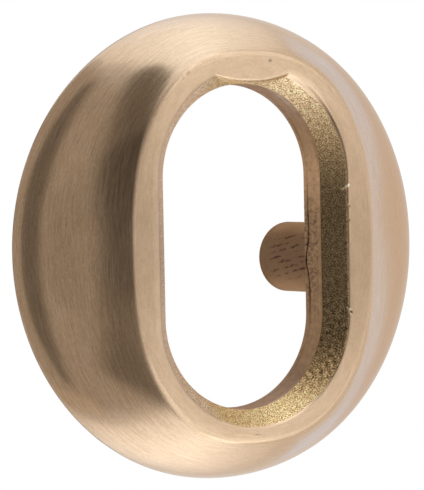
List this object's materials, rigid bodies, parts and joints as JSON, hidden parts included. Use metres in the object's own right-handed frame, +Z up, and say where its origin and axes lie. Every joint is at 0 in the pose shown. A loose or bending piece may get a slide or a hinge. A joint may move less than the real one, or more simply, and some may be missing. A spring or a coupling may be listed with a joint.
{
  "type": "lock cylinder collar",
  "caption": "Domed round brass collar with a flat front and an oval opening for a lock cylinder, hollow behind, with tapped posts that draw it tight against the door.",
  "frame": {"origin": "centre of the round back edge, on the door plane, where the axis of the oval opening leaves it", "axes": "-Y out of the front, +Y into the door along the posts, +Z up along the long axis of the opening"},
  "size_m": [0.058, 0.0187, 0.058],
  "materials": {
    "brass": "satin, brushed outside, as cast in the sloping mouth"
  },
  "bodies": {
    "root": {"cylinder_collar": "brass"}
  },
  "joints": []
}
